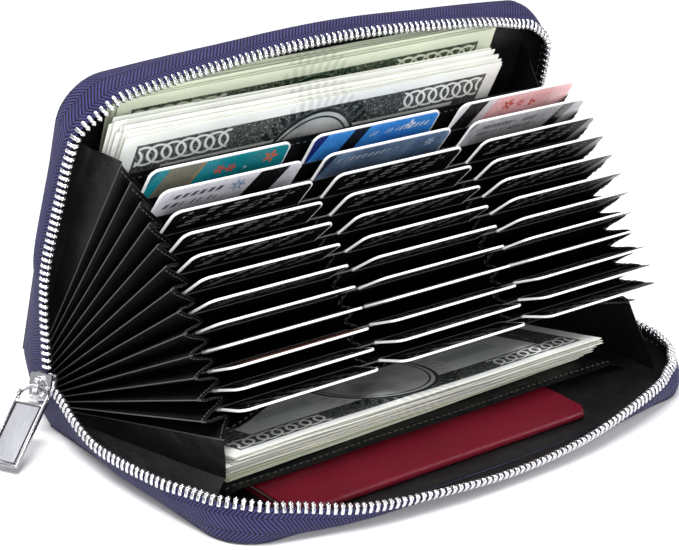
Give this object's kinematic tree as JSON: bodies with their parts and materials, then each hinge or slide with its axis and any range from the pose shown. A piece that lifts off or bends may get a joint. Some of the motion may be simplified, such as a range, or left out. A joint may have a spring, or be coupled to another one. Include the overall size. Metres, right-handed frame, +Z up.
{
  "type": "accordion card wallet",
  "caption": "Zip-around accordion card wallet standing open, with fanned rows of card pockets, note compartments, a slip pocket and removable cards, banknotes and passport.",
  "frame": {"origin": "middle of the flat underside of the front cover, at the middle of its straight part from fold to mouth", "axes": "+X along the fold, towards the end without the slider; -Y from the fold to the mouth of the front cover; +Z up, out of the surface it lies on"},
  "size_m": [0.2389, 0.1332, 0.1247],
  "materials": {
    "navy_leather": "smooth, slightly glossy, very dark blue",
    "board": "plain",
    "black_lining": "satin nylon with fine ribs",
    "zip_cloth": "woven herringbone tape",
    "zip_metal": "bright polished",
    "tag_metal": "satin, plain",
    "leaf_cloth": "satin nylon",
    "card_teal": "printed, satin",
    "card_blue": "printed, satin",
    "card_pink": "printed, satin",
    "card_white": "printed, satin",
    "card_slate": "printed, satin",
    "card_grey": "printed, satin",
    "card_black": "satin face with white edges",
    "note_paper": "printed paper",
    "passport_cover": "fine grained, dark red",
    "passport_pages": "plain"
  },
  "bodies": {
    "front_cover": {"leather_front": "navy_leather", "board_front": "board", "lining_front": "black_lining", "zip_tape_front": "zip_cloth", "zip_teeth_front": "zip_metal", "slip_pocket": "black_lining", "gusset_front_left": "leaf_cloth", "gusset_front_right": "leaf_cloth"},
    "spine": {"leather_spine": "navy_leather", "lining_spine": "black_lining", "zip_tail_left": "zip_cloth", "zip_tail_right": "zip_cloth", "gusset_accordion_left": "leaf_cloth", "gusset_accordion_right": "leaf_cloth"},
    "rear_cover": {"leather_rear": "navy_leather", "board_rear": "board", "lining_rear": "black_lining", "zip_tape_rear": "zip_cloth", "zip_teeth_rear": "zip_metal", "gusset_rear_left": "leaf_cloth", "gusset_rear_right": "leaf_cloth"},
    "leaf_01": {"card_leaf_01": "leaf_cloth"},
    "leaf_02": {"card_leaf_02": "leaf_cloth"},
    "leaf_03": {"card_leaf_03": "leaf_cloth"},
    "leaf_04": {"card_leaf_04": "leaf_cloth"},
    "leaf_05": {"card_leaf_05": "leaf_cloth"},
    "leaf_06": {"card_leaf_06": "leaf_cloth"},
    "leaf_07": {"card_leaf_07": "leaf_cloth"},
    "leaf_08": {"card_leaf_08": "leaf_cloth"},
    "leaf_09": {"card_leaf_09": "leaf_cloth"},
    "leaf_10": {"card_leaf_10": "leaf_cloth"},
    "leaf_11": {"card_leaf_11": "leaf_cloth"},
    "leaf_12": {"card_leaf_12": "leaf_cloth"},
    "divider_rear": {"divider_rear": "leaf_cloth"},
    "divider_front": {"divider_front": "leaf_cloth"},
    "card_01_1": {"card_01_1": "card_teal"},
    "card_01_2": {"card_01_2": "card_blue"},
    "card_01_3": {"card_01_3": "card_pink"},
    "card_02_1": {"card_02_1": "card_white"},
    "card_02_2": {"card_02_2": "card_slate"},
    "card_02_3": {"card_02_3": "card_grey"},
    "cards_row_03": {"cards_row_03": "card_black"},
    "cards_row_04": {"cards_row_04": "card_black"},
    "cards_row_05": {"cards_row_05": "card_black"},
    "cards_row_06": {"cards_row_06": "card_black"},
    "cards_row_07": {"cards_row_07": "card_black"},
    "cards_row_08": {"cards_row_08": "card_black"},
    "cards_row_09": {"cards_row_09": "card_black"},
    "cards_row_10": {"cards_row_10": "card_black"},
    "cards_row_11": {"cards_row_11": "card_black"},
    "cards_row_12": {"cards_row_12": "card_black"},
    "notes_rear_back": {"notes_rear_back": "note_paper"},
    "notes_rear_front": {"notes_rear_front": "note_paper"},
    "notes_front_low": {"notes_front_low": "note_paper"},
    "notes_front_high": {"notes_front_high": "note_paper"},
    "passport": {"passport_cover": "passport_cover", "passport_pages": "passport_pages"},
    "zip_slider": {"zip_slider": "zip_metal"},
    "pull_tag": {"pull_tag": "tag_metal"}
  },
  "joints": [
    {"name": "front_fold", "type": "hinge", "parent": "front_cover", "child": "spine", "pos_m": [0, 0.0505, 0.00055], "axis": [-1, 0, 0], "range_deg": [-36.55, 0], "deforming": ["gusset_accordion_left", "gusset_accordion_right", "gusset_front_left", "gusset_front_right"]},
    {"name": "rear_fold", "type": "hinge", "parent": "spine", "child": "rear_cover", "pos_m": [0, 0.06707, 0.02187], "axis": [-1, 0, 0], "range_deg": [-36.57, 0], "deforming": ["gusset_rear_left", "gusset_rear_right"]},
    {"name": "leaf_01_hinge", "type": "hinge", "parent": "spine", "child": "leaf_01", "pos_m": [0, 0.06315, 0.01732], "axis": [-1, 0, 0], "range_deg": [-19.57, 0]},
    {"name": "leaf_02_hinge", "type": "hinge", "parent": "spine", "child": "leaf_02", "pos_m": [0, 0.06229, 0.01621], "axis": [-1, 0, 0], "range_deg": [-15.74, 0]},
    {"name": "leaf_03_hinge", "type": "hinge", "parent": "spine", "child": "leaf_03", "pos_m": [0, 0.06143, 0.01511], "axis": [-1, 0, 0], "range_deg": [-11.98, 0]},
    {"name": "leaf_04_hinge", "type": "hinge", "parent": "spine", "child": "leaf_04", "pos_m": [0, 0.06057, 0.014], "axis": [-1, 0, 0], "range_deg": [-8.29, 0]},
    {"name": "leaf_05_hinge", "type": "hinge", "parent": "spine", "child": "leaf_05", "pos_m": [0, 0.05971, 0.01289], "axis": [-1, 0, 0], "range_deg": [-4.68, 0]},
    {"name": "leaf_06_hinge", "type": "hinge", "parent": "spine", "child": "leaf_06", "pos_m": [0, 0.05885, 0.01179], "axis": [-1, 0, 0], "range_deg": [-1.14, 0]},
    {"name": "leaf_07_hinge", "type": "hinge", "parent": "spine", "child": "leaf_07", "pos_m": [0, 0.05799, 0.01068], "axis": [-1, 0, 0], "range_deg": [0, 2.37]},
    {"name": "leaf_08_hinge", "type": "hinge", "parent": "spine", "child": "leaf_08", "pos_m": [0, 0.05714, 0.00958], "axis": [-1, 0, 0], "range_deg": [0, 5.77]},
    {"name": "leaf_09_hinge", "type": "hinge", "parent": "spine", "child": "leaf_09", "pos_m": [0, 0.05628, 0.00847], "axis": [-1, 0, 0], "range_deg": [0, 9.09]},
    {"name": "leaf_10_hinge", "type": "hinge", "parent": "spine", "child": "leaf_10", "pos_m": [0, 0.05542, 0.00737], "axis": [-1, 0, 0], "range_deg": [0, 12.34]},
    {"name": "leaf_11_hinge", "type": "hinge", "parent": "spine", "child": "leaf_11", "pos_m": [0, 0.05456, 0.00626], "axis": [-1, 0, 0], "range_deg": [0, 15.52]},
    {"name": "leaf_12_hinge", "type": "hinge", "parent": "spine", "child": "leaf_12", "pos_m": [0, 0.0537, 0.00516], "axis": [-1, 0, 0], "range_deg": [0, 18.62]},
    {"name": "divider_rear_hinge", "type": "hinge", "parent": "spine", "child": "divider_rear", "pos_m": [0, 0.0637, 0.01803], "axis": [-1, 0, 0], "range_deg": [-23.52, 0]},
    {"name": "divider_front_hinge", "type": "hinge", "parent": "spine", "child": "divider_front", "pos_m": [0, 0.05315, 0.00445], "axis": [-1, 0, 0], "range_deg": [0, 22.17]},
    {"name": "card_01_1_slide", "type": "slide", "parent": "leaf_01", "child": "card_01_1", "axis": [0, -0.5225, 0.8526], "range_m": [0, 0.06]},
    {"name": "card_01_2_slide", "type": "slide", "parent": "leaf_01", "child": "card_01_2", "axis": [0, -0.5225, 0.8526], "range_m": [0, 0.06]},
    {"name": "card_01_3_slide", "type": "slide", "parent": "leaf_01", "child": "card_01_3", "axis": [0, -0.5225, 0.8526], "range_m": [0, 0.06]},
    {"name": "card_02_1_slide", "type": "slide", "parent": "leaf_02", "child": "card_02_1", "axis": [0, -0.5798, 0.8148], "range_m": [0, 0.06]},
    {"name": "card_02_2_slide", "type": "slide", "parent": "leaf_02", "child": "card_02_2", "axis": [0, -0.5798, 0.8148], "range_m": [0, 0.06]},
    {"name": "card_02_3_slide", "type": "slide", "parent": "leaf_02", "child": "card_02_3", "axis": [0, -0.5798, 0.8148], "range_m": [0, 0.06]},
    {"name": "cards_row_03_slide", "type": "slide", "parent": "leaf_03", "child": "cards_row_03", "axis": [0, -0.6334, 0.7738], "range_m": [0, 0.06]},
    {"name": "cards_row_04_slide", "type": "slide", "parent": "leaf_04", "child": "cards_row_04", "axis": [0, -0.6832, 0.7303], "range_m": [0, 0.06]},
    {"name": "cards_row_05_slide", "type": "slide", "parent": "leaf_05", "child": "cards_row_05", "axis": [0, -0.7291, 0.6844], "range_m": [0, 0.06]},
    {"name": "cards_row_06_slide", "type": "slide", "parent": "leaf_06", "child": "cards_row_06", "axis": [0, -0.7711, 0.6367], "range_m": [0, 0.06]},
    {"name": "cards_row_07_slide", "type": "slide", "parent": "leaf_07", "child": "cards_row_07", "axis": [0, -0.8093, 0.5874], "range_m": [0, 0.06]},
    {"name": "cards_row_08_slide", "type": "slide", "parent": "leaf_08", "child": "cards_row_08", "axis": [0, -0.8437, 0.5369], "range_m": [0, 0.06]},
    {"name": "cards_row_09_slide", "type": "slide", "parent": "leaf_09", "child": "cards_row_09", "axis": [0, -0.8742, 0.4855], "range_m": [0, 0.06]},
    {"name": "cards_row_10_slide", "type": "slide", "parent": "leaf_10", "child": "cards_row_10", "axis": [0, -0.9011, 0.4335], "range_m": [0, 0.06]},
    {"name": "cards_row_11_slide", "type": "slide", "parent": "leaf_11", "child": "cards_row_11", "axis": [0, -0.9245, 0.3812], "range_m": [0, 0.06]},
    {"name": "cards_row_12_slide", "type": "slide", "parent": "leaf_12", "child": "cards_row_12", "axis": [0, -0.9444, 0.3289], "range_m": [0, 0.06]},
    {"name": "notes_rear_back_slide", "type": "slide", "parent": "rear_cover", "child": "notes_rear_back", "axis": [0, -0.247, 0.969], "range_m": [0, 0.002]},
    {"name": "notes_rear_front_slide", "type": "slide", "parent": "divider_rear", "child": "notes_rear_front", "axis": [0, -0.4602, 0.8878], "range_m": [0, 0.05]},
    {"name": "notes_front_low_slide", "type": "slide", "parent": "front_cover", "child": "notes_front_low", "axis": [0, -1, 0], "range_m": [0, 0.02]},
    {"name": "notes_front_high_slide", "type": "slide", "parent": "divider_front", "child": "notes_front_high", "axis": [0, -0.9641, 0.2656], "range_m": [0, 0.05]},
    {"name": "passport_slide", "type": "slide", "parent": "front_cover", "child": "passport", "axis": [0, -1, 0], "range_m": [0, 0.002]},
    {"name": "slider_travel", "type": "slide", "parent": "spine", "child": "zip_slider", "axis": [0.2962, 0.171, 0.9397], "range_m": [0, 0.003]},
    {"name": "tag_hinge", "type": "hinge", "parent": "zip_slider", "child": "pull_tag", "pos_m": [-0.10753, 0.04482, 0.01881], "axis": [0.5, -0.866, 0], "range_deg": [-100, 0]}
  ],
  "couplings": [
    {"joint": "rear_fold", "follows": "front_fold", "ratio": 1},
    {"joint": "leaf_01_hinge", "follows": "front_fold", "ratio": 0.53488},
    {"joint": "leaf_02_hinge", "follows": "front_fold", "ratio": 0.43004},
    {"joint": "leaf_03_hinge", "follows": "front_fold", "ratio": 0.32719},
    {"joint": "leaf_04_hinge", "follows": "front_fold", "ratio": 0.22633},
    {"joint": "leaf_05_hinge", "follows": "front_fold", "ratio": 0.12746},
    {"joint": "leaf_06_hinge", "follows": "front_fold", "ratio": 0.030582},
    {"joint": "leaf_07_hinge", "follows": "front_fold", "ratio": -0.064306},
    {"joint": "leaf_08_hinge", "follows": "front_fold", "ratio": -0.15721},
    {"joint": "leaf_09_hinge", "follows": "front_fold", "ratio": -0.24811},
    {"joint": "leaf_10_hinge", "follows": "front_fold", "ratio": -0.33703},
    {"joint": "leaf_11_hinge", "follows": "front_fold", "ratio": -0.42396},
    {"joint": "leaf_12_hinge", "follows": "front_fold", "ratio": -0.50889},
    {"joint": "divider_rear_hinge", "follows": "front_fold", "ratio": 0.64296},
    {"joint": "divider_front_hinge", "follows": "front_fold", "ratio": -0.60602}
  ]
}
